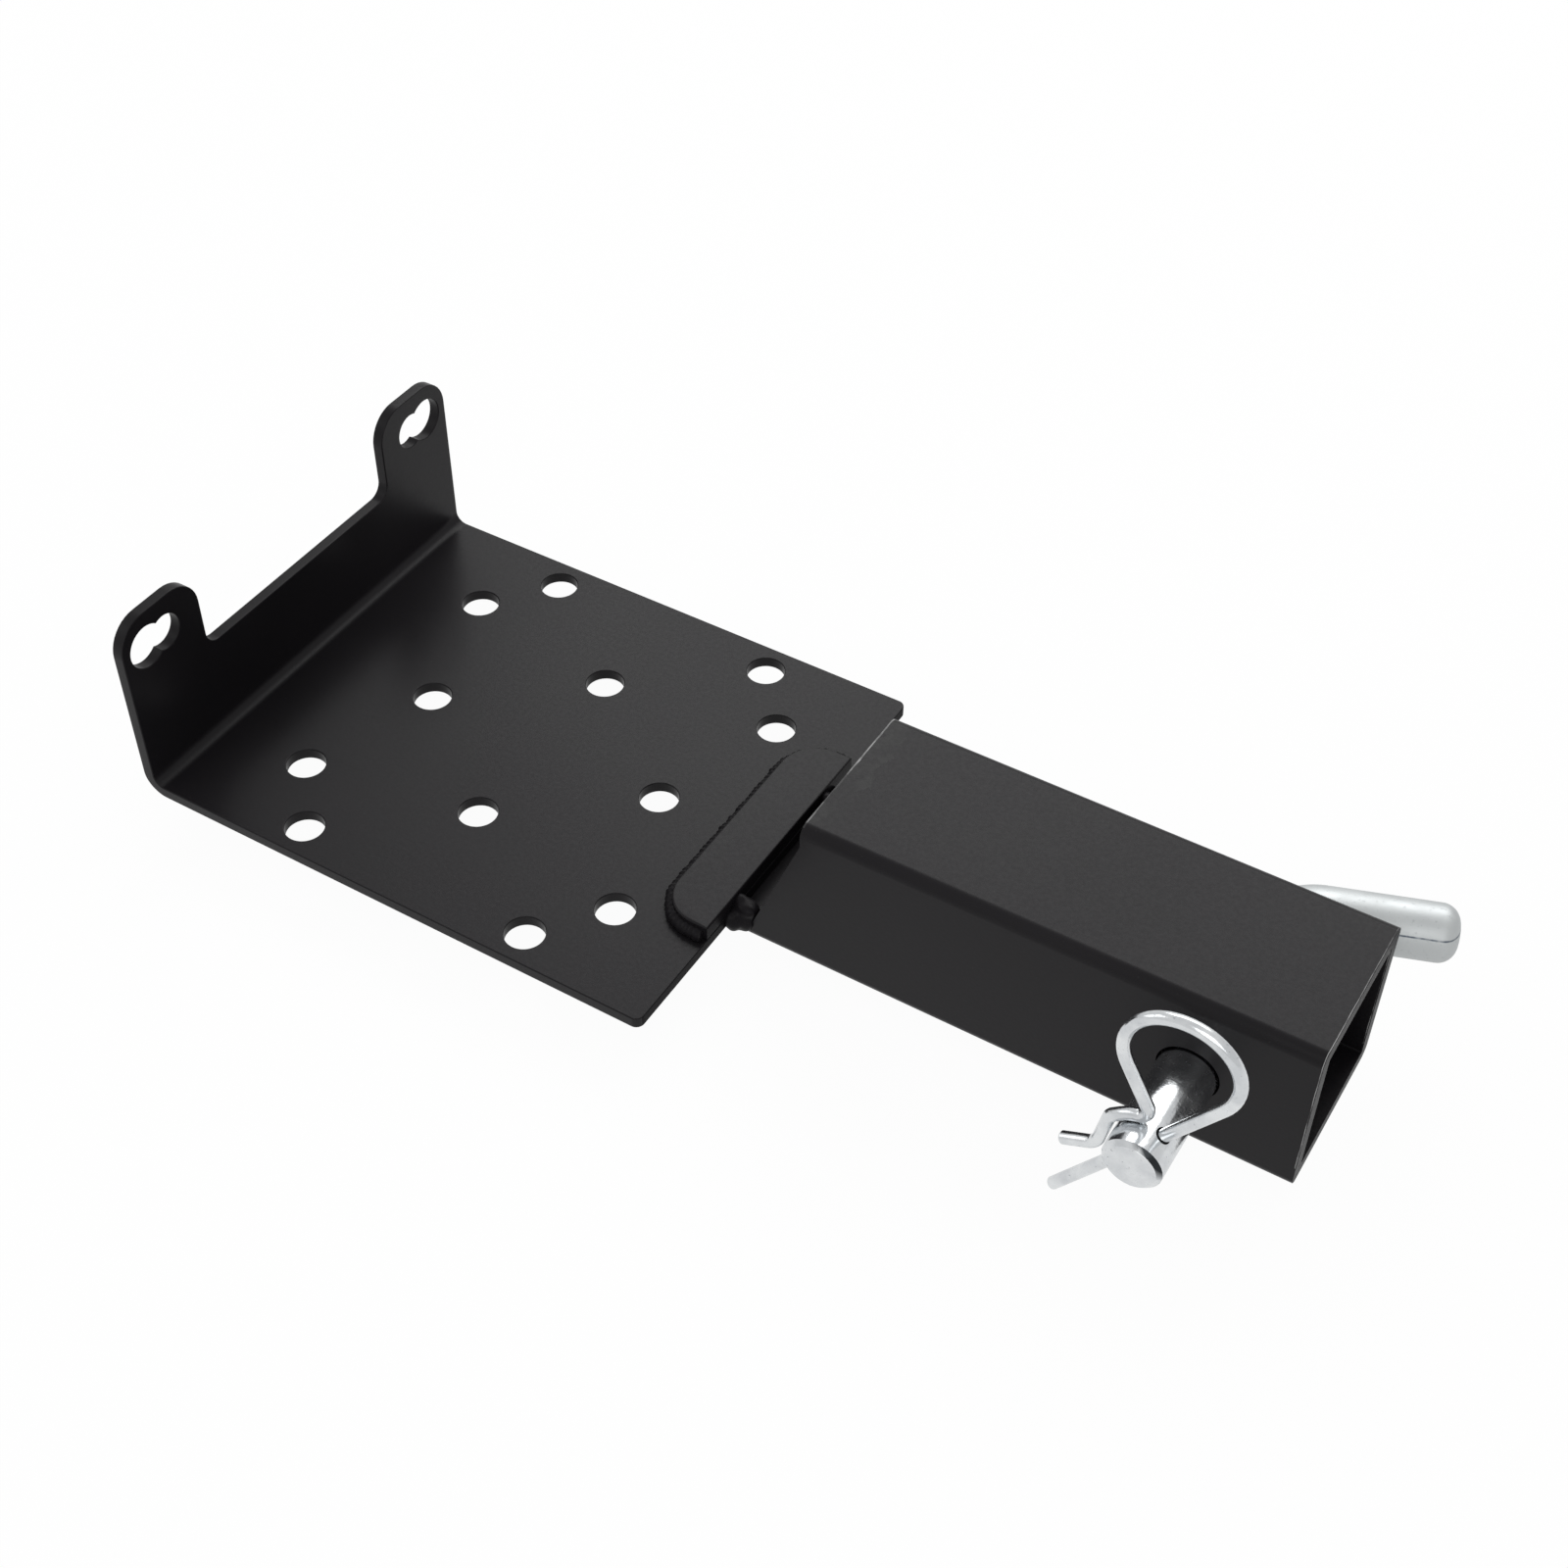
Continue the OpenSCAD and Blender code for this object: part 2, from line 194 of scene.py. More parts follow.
def rod(name, points, radii, diameter, resolution=10):
    # A round bar along points, with its own radius factor at each.
    curve = bpy.data.curves.new(name, "CURVE")
    curve.dimensions = "3D"
    curve.bevel_depth = diameter / 2 * mm
    curve.bevel_resolution = resolution
    curve.use_fill_caps = True
    curve.twist_mode = "MINIMUM"
    spline = curve.splines.new("POLY")
    spline.points.add(len(points) - 1)
    for point, place, factor in zip(spline.points, points, radii):
        point.co = (*(Vector(place) * mm), 1)
        point.radius = factor
    return curveMesh(name, curve)


def cutAway(piece, *cutters):
    for cutter in cutters:
        change = piece.modifiers.new("cut", "BOOLEAN")
        change.operation = "DIFFERENCE"
        change.solver = "EXACT"
        change.object = cutter
    applied(piece)
    for cutter in cutters:
        bpy.data.objects.remove(cutter)
    return piece


def evenNormals(piece):
    # Large flat faces keep flat shading beside their rounded rims.
    change = piece.modifiers.new("evenNormals", "WEIGHTED_NORMAL")
    change.mode = "FACE_AREA"
    change.weight = 100
    change.keep_sharp = True
    return applied(piece)


def roundEdges(piece, width, segments=2, angle=40):
    change = piece.modifiers.new("edges", "BEVEL")
    change.width = width * mm
    change.segments = segments
    change.limit_method = "ANGLE"
    change.angle_limit = math.radians(angle)
    change.use_clamp_overlap = True
    return applied(piece)


def stave(name, radius, length, middle, axis, steps=64):
    # A plain cylinder, used only to cut with.
    bm = bmesh.new()
    bmesh.ops.create_cone(
        bm, cap_ends=True, segments=steps, depth=length * mm,
        radius1=radius * mm, radius2=radius * mm,
    )
    turn = Vector((0, 0, 1)).rotation_difference(Vector(axis)).to_matrix().to_4x4()
    bmesh.ops.transform(bm, matrix=Matrix.Translation(Vector(middle) * mm) @ turn, verts=bm.verts)
    return linked(name, meshOf(name, bm))


def prism(name, outline, low, high):
    # A block with an outline in X and Z, from low to high in Y, used only to cut with.
    bm = bmesh.new()
    face = bm.faces.new([bm.verts.new((x * mm, low * mm, z * mm)) for x, z in outline])
    pushed = bmesh.ops.extrude_face_region(bm, geom=[face])["geom"]
    moved = [v for v in pushed if isinstance(v, bmesh.types.BMVert)]
    bmesh.ops.translate(bm, vec=(0, (high - low) * mm, 0), verts=moved)
    bmesh.ops.recalc_face_normals(bm, faces=bm.faces)
    return linked(name, meshOf(name, bm))


def place(piece, body, slot, *nodes):
    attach(piece, body)
    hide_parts(*nodes)
    return piece


def flangeU(height):
    # Where a height on the folded flange lies on the flat blank.
    return foldX - foldLength - (height - plate["insideRadius"])


def blankOutline():
    half = plate["width"] / 2
    end, r = plate["end"], plate["cornerRadius"]
    c, root = plate["earCorner"], plate["earRoot"]
    top, low = flangeU(plate["earTop"]), flangeU(plate["flangeTop"])
    inner = plate["earInner"]
    line = arc((end - r, -half + r), r, -90, 0) + arc((end - r, half - r), r, 0, 90)
    line += arc((top + c, half - c), c, 90, 180)
    line += arc((top + c, inner + c), c, 180, 270)
    line += arc((low - root, inner - root), root, 90, 0, 8)
    line += arc((low - root, root - inner), root, 0, -90, 8)
    line += arc((top + c, -inner - c), c, 90, 180)
    line += arc((top + c, -half + c), c, 180, 270)
    return line


def slotOutline(side):
    # Two overlapping circles as one outline, the wide one outside.
    big, small, reach = plate["slotRadius"], plate["slotSmallRadius"], plate["slotReach"]
    along = (big**2 - small**2 + reach**2) / (2 * reach)
    turnBig = math.degrees(math.acos(along / big))
    turnSmall = math.degrees(math.acos((reach - along) / small))
    u = flangeU(plate["slotHeight"])
    wide = arc((0, 0), big, turnBig, 360 - turnBig, 36)
    narrow = arc((reach, 0), small, turnSmall - 180, 180 - turnSmall, 30)
    loop = wide[1:-1] + narrow
    return [(u + y, side * (plate["slotOut"] - x)) for x, y in loop]


def makePlate():
    loops = [blankOutline(), slotOutline(1), slotOutline(-1)]
    radius = plate["boltDiameter"] / 2
    for a, b in plate["rectangles"]:
        loops += [circle((i * a / 2, j * b / 2), radius) for i in (-1, 1) for j in (-1, 1)]
    for a, b in plate["pairs"]:
        loops += [circle((i * a / 2, i * b / 2), radius) for i in (-1, 1)]
    mesh = cutSheet("mountingPlate", loops, plate["sheet"], plate["edge"])
    bm = bmesh.new()
    bm.from_mesh(mesh)
    for k in range(plate["foldSteps"] + 1):
        at = foldX - foldLength * k / plate["foldSteps"]
        bmesh.ops.bisect_plane(
            bm, geom=bm.verts[:] + bm.edges[:] + bm.faces[:], dist=1e-7,
            plane_co=(at * mm, 0, 0), plane_no=(1, 0, 0),
        )
    for v in bm.verts:
        run = foldX * mm - v.co.x
        if run <= 0:
            continue
        turn = min(run, foldLength * mm) / (midRadius * mm)
        radial = plate["insideRadius"] * mm - v.co.z
        rest = max(0, run - foldLength * mm)
        v.co.x = foldX * mm - radial * math.sin(turn)
        v.co.z = plate["insideRadius"] * mm - radial * math.cos(turn) + rest
    bmesh.ops.recalc_face_normals(bm, faces=bm.faces)
    bm.to_mesh(mesh)
    bm.free()
    piece = evenNormals(newPiece("mountingPlate", mesh, 50))
    return place(piece, "mount", "powder_coat", "mounting_plate")


def roundedSquare(size, r):
    h = size / 2 - r
    line = []
    for k, (x, y) in enumerate(((h, h), (-h, h), (-h, -h), (h, -h))):
        line += arc((x, y), r, 90 * k, 90 * k + 90, 8)
    return line


def makeTube():
    loops = [roundedSquare(tube["size"], tube["corner"])]
    loops.append(roundedSquare(tube["size"] - 2 * tube["wall"], 0.6))
    length = tube["end"] - tube["tongueStart"]
    mesh = cutSheet("receiverTube", loops, length, 0)
    # The blank's thickness is the tube's length: turned so that it runs along X.
    turn = Matrix(((0, 0, 1), (1, 0, 0), (0, 1, 0))).to_4x4()
    mesh.transform(Matrix.Translation((tube["end"] * mm, 0, tubeMiddle * mm)) @ turn)
    piece = newPiece("receiverTube", mesh)
    top = tubeLow + tube["size"]
    slant = prism("slant", [
        (tube["tongueStart"] - 5, -plate["sheet"]), (tube["toe"], -plate["sheet"]),
        (tube["topCut"], top - tube["cutDrop"]), (tube["topCut"], top + 5),
        (tube["tongueStart"] - 5, top + 5),
    ], -40, 40)
    hole = stave("pinHole", tube["pinHole"] / 2, 80, pinMiddle, (0, 1, 0), 72)
    cutAway(piece, slant, hole)
    roundEdges(piece, tube["edge"])
    piece.data.shade_smooth()
    piece.data.set_sharp_from_angle(angle=math.radians(50))
    evenNormals(piece)
    return place(piece, "mount", "powder_coat", "receiver_tube")


def stripOutline():
    x0, x1 = plate["end"] - strip["width"], plate["end"]
    half, r = strip["length"] / 2, strip["corner"]
    line = [(x1, -half), (x1, half)]
    line += arc((x0 + r, half - r), r, 90, 180, 12)
    line += arc((x0 + r, r - half), r, 180, 270, 12)
    return line


def makeStrip():
    mesh = cutSheet("reinforcingStrip", [stripOutline()], strip["thickness"], strip["edge"])
    mesh.transform(Matrix.Translation((0, 0, strip["thickness"] * mm)))
    piece = evenNormals(newPiece("reinforcingStrip", mesh, 50))
    return place(piece, "mount", "powder_coat", "reinforcing_strip")


def evenly(points, step):
    # The same path with points at an even step.
    out = [Vector(points[0])]
    for a, b in zip(points, points[1:]):
        a, b = Vector(a), Vector(b)
        count = max(1, round((b - a).length / step))
        out += [a.lerp(b, k / count) for k in range(1, count + 1)]
    return out


def makeBead(name, path, radius, node, seed):
    points = evenly(path, beads["step"])
    radii, travelled = [], 0
    for k, p in enumerate(points):
        travelled += (p - points[k - 1]).length if k else 0
        wave = beads["ripple"] * math.sin(2 * math.pi * travelled / beads["rippleLength"])
        lump = beads["swell"] * noise.noise(p * 0.35 + Vector((seed, 0, 0)))
        radii.append(1 + wave + lump)
    mesh = rod(name, points, radii, 2 * radius, 6)
    for v in mesh.vertices:
        push = noise.noise(v.co / mm * 0.6 + Vector((seed, 3, 0))) * beads["lumpiness"]
        v.co += v.normal * push * mm
    piece = newPiece(name, mesh, 80)
    return place(piece, "mount", "coated_weld", node)


def makeStripBead():
    outline = stripOutline()
    # From the strip's front end round the drilled side to its back end.
    path = [(x, y, 1.2) for x, y in [outline[1]] + outline[2:] + [outline[0]]]
    path[0] = (path[0][0] - 1.5, path[0][1], 1.2)
    path[-1] = (path[-1][0] - 1.5, path[-1][1], 1.2)
    return makeBead("stripWeld", path, beads["stripRadius"], "strip_weld", 11)


def makeTongueBead():
    half, z = tube["size"] / 2, -plate["sheet"] - 0.4
    x0, x1 = tube["tongueStart"], plate["end"] - 3
    path = [(x1, -half, z), (x0 + 3, -half, z)]
    path += [(*p, z) for p in arc((x0 + 3, -half + 3), 3, -90, -180, 6)]
    path += [(*p, z) for p in arc((x0 + 3, half - 3), 3, 180, 90, 6)]
    path.append((x1, half, z))
    return makeBead("tongueWeld", path, beads["tongueRadius"], "tongue_weld", 23)


def makeToeWeld(name, side, node, seed):
    # Lumps of weld metal run together, then given the uneven skin of a bead.
    end, edge = plate["end"], tube["size"] / 2
    # Each lump: its middle and its half sizes.
    lumps = [
        ((end + 2.6, edge - 2.0, 0.2), (4.4, 3.2, 3.4)),
        ((end + 3.6, edge - 1.0, 1.4), (3.4, 2.6, 2.1)),
        ((end + 0.6, edge - 0.4, -3.8), (3.2, 2.2, 3.2)),
        ((end - 0.8, edge - 0.2, -5.2), (2.2, 1.5, 1.8)),
        ((end + 0.9, edge - 2.4, 2.2), (2.4, 2.0, 1.8)),
        ((end + 1.2, edge + 1.0, -2.0), (2.8, 3.4, 3.8)),
        ((end + 0.5, edge + 2.9, -1.2), (1.6, 2.0, 2.8)),
        ((end + 3.4, edge + 0.3, -2.6), (3.0, 1.6, 3.6)),
    ]
    bm = bmesh.new()
    for middle, size in lumps:
        made = bmesh.ops.create_icosphere(bm, subdivisions=3, radius=mm)["verts"]
        bmesh.ops.scale(bm, vec=size, verts=made)
        at = Vector((middle[0], side * middle[1], middle[2]))
        bmesh.ops.translate(bm, vec=at * mm, verts=made)
    piece = newPiece(name, meshOf(name, bm), 180)
    melt = piece.modifiers.new("melt", "REMESH")
    melt.mode = "VOXEL"
    melt.voxel_size = beads["blobVoxel"] * mm
    soft = piece.modifiers.new("soft", "SMOOTH")
    soft.iterations = beads["blobSmooth"]
    applied(piece)
    for v in piece.data.vertices:
        push = noise.noise(v.co / mm * 0.45 + Vector((seed, 0, 5))) * beads["blobSkin"]
        v.co += v.normal * push * mm
    piece.data.shade_smooth()
    return place(piece, "mount", "coated_weld", node)


def makePin():
    out = [(0, -pin["tip"], 0), (0, pin["chamfer"] - pin["tip"], 0)]
    radii = [1 - pin["chamfer"] / (pin["diameter"] / 2), 1]
    out += [(0, -20, 0), (0, pin["straight"], 0)]
    radii += [1, 1]
    middle = (pin["bendRadius"], pin["straight"])
    bend = arc(middle, pin["bendRadius"], 180, 180 - pin["bendAngle"], 24)[1:]
    out += [(x, y, 0) for x, y in bend]
    radii += [1] * len(bend)
    a = math.radians(90 - pin["bendAngle"])
    way = Vector((math.cos(a), math.sin(a), 0))
    start = Vector(out[-1])
    radius, rounding = pin["diameter"] / 2, pin["handleRound"]
    for k in range(pin["capSteps"] + 1):
        t = math.pi / 2 * k / pin["capSteps"]
        out.append(start + way * (pin["handle"] - rounding + rounding * math.sin(t)))
        radii.append(1 - (1 - math.cos(t)) * rounding / radius)
    points = [pinMiddle + Vector(p) for p in out]
    mesh = rod("hitchPin", points, radii, pin["diameter"], 22)
    piece = newPiece("hitchPin", mesh, 25)
    a = math.radians(clip["slope"])
    middle = pinMiddle + Vector((0, -pin["clipOut"], 0))
    wayThrough = (math.cos(a), 0, math.sin(a))
    cutAway(piece, stave("cross", pin["crossHole"] / 2, 40, middle, wayThrough, 32))
    piece.data.shade_smooth()
    piece.data.set_sharp_from_angle(angle=math.radians(25))
    return place(piece, "pin", "zinc", "hitch_pin")


def clipPath():
    # Walks along the wire: straights, then turns, left turns positive, in X and Z.
    c = clip
    slope = math.radians(c["slope"])
    grip = pin["diameter"] / 2 + c["wire"] / 2 + c["gripGap"]
    leg = Vector((math.cos(slope), math.sin(slope)))
    loopAt = leg * c["above"] + Vector((-leg.y, leg.x)) * c["loopRadius"]
    place = math.radians(c["neckPlace"])
    neckAt = Vector((math.cos(place), math.sin(place))) * (grip + c["neckRadius"])
    span = neckAt - loopAt
    both = c["loopRadius"] + c["neckRadius"]
    run = math.sqrt(span.length_squared - both**2)
    heading = math.degrees(math.atan2(span.y, span.x) + math.atan2(both, run)) + 360
    moves = [
        (c["below"] + c["above"], c["loopRadius"], heading - c["slope"]),
        (run, c["neckRadius"], c["neckPlace"] + 90 - heading),
        (0, grip, c["gripPlace"] - c["neckPlace"]),
        (c["gripRun"], c["cornerRadius"], c["cornerTurn"]),
        (c["leadStraight"], c["flareRadius"], -c["flareTurn"]),
        (c["flareEnd"], 0, 0),
    ]
    at, aim = -leg * c["below"], slope
    points = [at.copy()]
    for straight, radius, turn in moves:
        if straight:
            count = max(2, round(straight / 3))
            for _ in range(count):
                at = at + Vector((math.cos(aim), math.sin(aim))) * straight / count
                points.append(at.copy())
        steps = max(1, round(abs(turn) / 6)) if radius else 0
        side = 1 if turn > 0 else -1
        for _ in range(steps):
            middle = at + Vector((-math.sin(aim), math.cos(aim))) * side * radius
            small = math.radians(turn) / steps
            at = middle + Matrix.Rotation(small, 2) @ (at - middle)
            aim += small
            points.append(at.copy())
    return points


def makeClip():
    middle = pinMiddle + Vector((0, -pin["clipOut"], 0))
    points = [middle + Vector((p.x, 0, p.y)) for p in clipPath()]
    # A tiny round at each cut end.
    e = clip["endRound"]
    points.insert(1, points[0].lerp(points[1], e / (points[1] - points[0]).length))
    points.insert(-1, points[-1].lerp(points[-2], e / (points[-1] - points[-2]).length))
    radii = [1] * len(points)
    radii[0] = radii[-1] = clip["endFactor"]
    mesh = rod("hairpinClip", points, radii, clip["wire"], 10)
    return place(newPiece("hairpinClip", mesh, 30), "clip", "zinc", "hairpin_clip")


def nodeGroup(name, numbers, outputs):
    # A group that takes a vector and named numbers.
    group = bpy.data.node_groups.new(name, "ShaderNodeTree")
    group.interface.new_socket(name="Vector", in_out="INPUT", socket_type="NodeSocketVector")
    for label, value in numbers.items():
        kind = "NodeSocketFloat"
        socket = group.interface.new_socket(name=label, in_out="INPUT", socket_type=kind)
        socket.default_value = value
    for label in outputs:
        kind = "NodeSocketColor" if label == "Colour" else "NodeSocketFloat"
        group.interface.new_socket(name=label, in_out="OUTPUT", socket_type=kind)
    return group, group.nodes.new("NodeGroupInput"), group.nodes.new("NodeGroupOutput")


def splitUp(tree, vector):
    node = tree.nodes.new("ShaderNodeSeparateXYZ")
    tree.links.new(vector, node.inputs[0])
    return node.outputs


def layer(material, group, **numbers):
    # The group in the material, on Object coordinates.
    tree = material.node_tree
    node = tree.nodes.new("ShaderNodeGroup")
    node.node_tree = group
    where = tree.nodes.new("ShaderNodeTexCoord")
    tree.links.new(where.outputs["Object"], node.inputs["Vector"])
    for label, value in numbers.items():
        node.inputs[label].default_value = value
    return node


def shaderOf(material):
    # The material's tree and shader, and what now colours it.
    tree = material.node_tree
    shader = tree.nodes["Principled BSDF"]
    return tree, shader, shader.inputs["Base Color"].links[0].from_socket


def grain(tree, vector, scale, detail, rough):
    node = tree.nodes.new("ShaderNodeTexNoise")
    node.inputs["Scale"].default_value = scale
    node.inputs["Detail"].default_value = detail
    node.inputs["Roughness"].default_value = rough
    tree.links.new(vector, node.inputs["Vector"])
    return node.outputs["Fac"]


def ranged(tree, value, fromLow, fromHigh, toLow, toHigh):
    node = tree.nodes.new("ShaderNodeMapRange")
    node.inputs["From Min"].default_value = fromLow
    node.inputs["From Max"].default_value = fromHigh
    node.inputs["To Min"].default_value = toLow
    node.inputs["To Max"].default_value = toHigh
    tree.links.new(value, node.inputs["Value"])
    return node.outputs["Result"]


def calc(tree, a, b, kind="ADD"):
    node = tree.nodes.new("ShaderNodeMath")
    node.operation = kind
    for socket, value in zip(node.inputs, (a, b)):
        if isinstance(value, (int, float)):
            socket.default_value = value
        else:
            tree.links.new(value, socket)
    return node.outputs[0]


def mixColour(tree, factor, a, b):
    node = tree.nodes.new("ShaderNodeMix")
    node.data_type = "RGBA"
    tree.links.new(factor, node.inputs["Factor"])
    for socket, value in ((node.inputs[6], a), (node.inputs[7], b)):
        if isinstance(value, tuple):
            socket.default_value = (*value, 1)
        else:
            tree.links.new(value, socket)
    return node.outputs[2]


def coatGroup():
    # Orange peel height, colour and roughness of black powder coat.
    group, given, made = nodeGroup("powderCoatSkin", {"Peel": 1}, ("Colour", "Roughness", "Height"))
    vector = given.outputs["Vector"]
    peel = grain(group, vector, 900, 3, 0.55)
    fine = grain(group, vector, 3200, 2, 0.6)
    broad = grain(group, vector, 9, 3, 0.5)
    speck = grain(group, vector, 1500, 1, 0.5)
    shift = ranged(group, broad, 0.35, 0.65, 0, 1)
    colour = mixColour(group, shift, finish["coatDark"], finish["coatLight"])
    dust = ranged(group, speck, 0.74, 0.8, 0, 0.35)
    colour = mixColour(group, dust, colour, finish["dust"])
    group.links.new(colour, made.inputs["Colour"])
    rough = ranged(group, broad, 0.3, 0.7, 0.31, 0.38)
    rough = calc(group, rough, ranged(group, peel, 0.3, 0.7, -0.04, 0.04))
    group.links.new(rough, made.inputs["Roughness"])
    height = calc(group, ranged(group, peel, 0, 1, 0, 1), ranged(group, fine, 0, 1, 0, 0.35))
    height = calc(group, height, given.outputs["Peel"], "MULTIPLY")
    group.links.new(height, made.inputs["Height"])
    return group


def zincGroup():
    # Bright plating: faint clouding and small pits.
    group, given, made = nodeGroup("zincSkin", {}, ("Colour", "Roughness", "Height"))
    vector = given.outputs["Vector"]
    cloud = grain(group, vector, 120, 3, 0.6)
    pits = grain(group, vector, 900, 2, 0.6)
    shift = ranged(group, cloud, 0.35, 0.65, 0, 1)
    colour = mixColour(group, shift, finish["zincDark"], finish["zincLight"])
    colour = mixColour(group, ranged(group, pits, 0.66, 0.74, 0, 0.6), colour, finish["pits"])
    group.links.new(colour, made.inputs["Colour"])
    rough = ranged(group, cloud, 0.3, 0.7, 0.13, 0.24)
    rough = calc(group, rough, ranged(group, pits, 0.6, 0.75, 0, 0.15))
    group.links.new(rough, made.inputs["Roughness"])
    group.links.new(ranged(group, pits, 0.3, 0.75, 0, 1), made.inputs["Height"])
    return group


def rubbedAndHighlitGroup():
    # A thin broken line along an edge that runs along Y: rubbed-off coat with a painted highlight.
    group, given, made = nodeGroup("rubbedAndHighlitEdge", {"Place": 0, "Low": 0, "Half": 0}, ("Mask",))
    vector = given.outputs["Vector"]
    at = splitUp(group, vector)
    wander = ranged(group, grain(group, vector, 160, 2, 0.6), 0.2, 0.8, -0.8, 0.8)
    wander = calc(group, wander, given.outputs["Half"], "MULTIPLY")
    away = calc(group, calc(group, at["X"], given.outputs["Place"], "SUBTRACT"), wander)
    away = calc(group, away, 0, "ABSOLUTE")
    line = calc(group, away, given.outputs["Half"], "LESS_THAN")
    high = calc(group, at["Z"], given.outputs["Low"], "GREATER_THAN")
    broken = ranged(group, grain(group, vector, 70, 3, 0.7), 0.42, 0.56, 0.1, 1)
    mask = calc(group, calc(group, line, high, "MULTIPLY"), broken, "MULTIPLY")
    group.links.new(mask, made.inputs["Mask"])
    return group


def rubAndHighlightEdges(material, group, edges):
    # Lays rubbed lines with painted highlight over a material's own colour; each is (x, lowest z,
    # half width, tone).
    tree, shader, colour = shaderOf(material)
    for x, low, half, tone in edges:
        rubbedAndHighlit = layer(material, group, Place=x * mm, Low=low * mm, Half=half * mm)
        colour = mixColour(tree, rubbedAndHighlit.outputs["Mask"], colour, (tone, tone, tone))
    tree.links.new(colour, shader.inputs["Base Color"])


def handleGroup():
    # Where the pin's handle gets painted shade and more roughness, and the painted dark reflection
    # line along it.
    group, given, made = nodeGroup("handleShadeAndReflection", {"Start": 0, "Height": 0}, ("HandleShade", "Line"))
    vector = given.outputs["Vector"]
    at = splitUp(group, vector)
    past = calc(group, at["Y"], given.outputs["Start"], "SUBTRACT")
    handleShade = ranged(group, past, 0, 8 * mm, 0, 1)
    group.links.new(handleShade, made.inputs["HandleShade"])
    away = calc(group, at["Z"], given.outputs["Height"], "SUBTRACT")
    line = ranged(group, calc(group, away, 0, "ABSOLUTE"), 0.1 * mm, 0.3 * mm, 1, 0)
    broken = ranged(group, grain(group, vector, 420, 2, 0.6), 0.35, 0.6, 0.35, 1)
    line = calc(group, calc(group, line, broken, "MULTIPLY"), handleShade, "MULTIPLY")
    group.links.new(line, made.inputs["Line"])
    return group


def tipGroup():
    # Painted shade on one side of the tip's chamfer.
    group, given, made = nodeGroup("tipShade", {"Rim": 0, "End": 0, "Middle": 0}, ("Mask",))
    at = splitUp(group, given.outputs["Vector"])
    before = calc(group, at["Y"], given.outputs["Rim"], "LESS_THAN")
    past = calc(group, at["Y"], given.outputs["End"], "GREATER_THAN")
    lean = calc(group, calc(group, at["X"], at["Z"]), given.outputs["Middle"], "SUBTRACT")
    lean = ranged(group, lean, finish["tipFrom"] * mm, finish["tipFull"] * mm, 0, 1)
    mask = calc(group, calc(group, before, past, "MULTIPLY"), lean, "MULTIPLY")
    group.links.new(mask, made.inputs["Mask"])
    return group


def shadeTip(material, group):
    tree, shader, colour = shaderOf(material)
    rim, end = pin["chamfer"] - pin["tip"], finish["tipFace"] - pin["tip"]
    middle = pinMiddle.x + pinMiddle.z
    shade = layer(material, group, Rim=rim * mm, End=end * mm, Middle=middle * mm)
    colour = mixColour(tree, shade.outputs["Mask"], colour, finish["tipShade"])
    tree.links.new(colour, shader.inputs["Base Color"])


def shadeHandle(material, group):
    tree, shader, colour = shaderOf(material)
    start, height = pin["shadeFrom"], pin["reflectionHeight"]
    handleShading = layer(material, group, Start=start * mm, Height=height * mm)
    # Painted shade darkens the handle's zinc; a painted dark reflection runs along its top.
    tone = calc(tree, handleShading.outputs["HandleShade"], 0.8, "MULTIPLY")
    colour = mixColour(tree, tone, colour, finish["handleShadeZinc"])
    colour = mixColour(tree, handleShading.outputs["Line"], colour, finish["handleReflectionLine"])
    tree.links.new(colour, shader.inputs["Base Color"])
    rough = shader.inputs["Roughness"].links[0].from_socket
    more = calc(tree, handleShading.outputs["HandleShade"], 0.34, "MULTIPLY")
    tree.links.new(calc(tree, rough, more), shader.inputs["Roughness"])


def skinned(name, group, metallic, bump, specular=0.5, **numbers):
    material = bpy.data.materials.new(name)
    material.use_nodes = True
    tree = material.node_tree
    shader = tree.nodes["Principled BSDF"]
    skin = layer(material, group, **numbers)
    tree.links.new(skin.outputs["Colour"], shader.inputs["Base Color"])
    tree.links.new(skin.outputs["Roughness"], shader.inputs["Roughness"])
    relief = tree.nodes.new("ShaderNodeBump")
    relief.inputs["Strength"].default_value = bump
    relief.inputs["Distance"].default_value = finish["reliefDepth"] * mm
    tree.links.new(skin.outputs["Height"], relief.inputs["Height"])
    tree.links.new(relief.outputs["Normal"], shader.inputs["Normal"])
    shader.inputs["Metallic"].default_value = metallic
    shader.inputs["Specular IOR Level"].default_value = specular
    return material


def dress(piece, material):
    piece.data.materials.clear()
    piece.data.materials.append(material)


def shadeEnds(piece, material):
    # The cut ends that face +X, seen edge on, and the tube's mouth get a copy of the coat with
    # almost no sheen, as painted shade that keeps them dark.
    piece.data.materials.append(material)
    inside = (tube["size"] / 2 - tube["wall"] / 2) * mm
    for face in piece.data.polygons:
        high = max(abs(face.center.y), abs(face.center.z - tubeMiddle * mm))
        mouth = face.center.x > (tube["end"] - 1) * mm and high < inside
        ended = face.center.x > tube["tongueStart"] * mm and face.normal.x > 0.93
        if ended or mouth:
            face.material_index = 1


def aimed(name, facts):
    light = bpy.data.lights.new(name, "AREA")
    light.shape = "RECTANGLE"
    light.size, light.size_y = facts["size"]
    light.energy = facts["power"]
    lamp = linked(name, light)
    lamp.location = Vector(facts["place"]) * mm
    way = (Vector(facts["aim"]) - Vector(facts["place"])).normalized()
    lamp.rotation_mode = "QUATERNION"
    lamp.rotation_quaternion = way.to_track_quat("-Z", "Y")


def seenDirectly(tree):
    # 1 for camera, glossy and transmission rays.
    path = tree.nodes.new("ShaderNodeLightPath")
    either = calc(tree, path.outputs["Is Camera Ray"], path.outputs["Is Glossy Ray"], "MAXIMUM")
    return calc(tree, either, path.outputs["Is Transmission Ray"], "MAXIMUM")


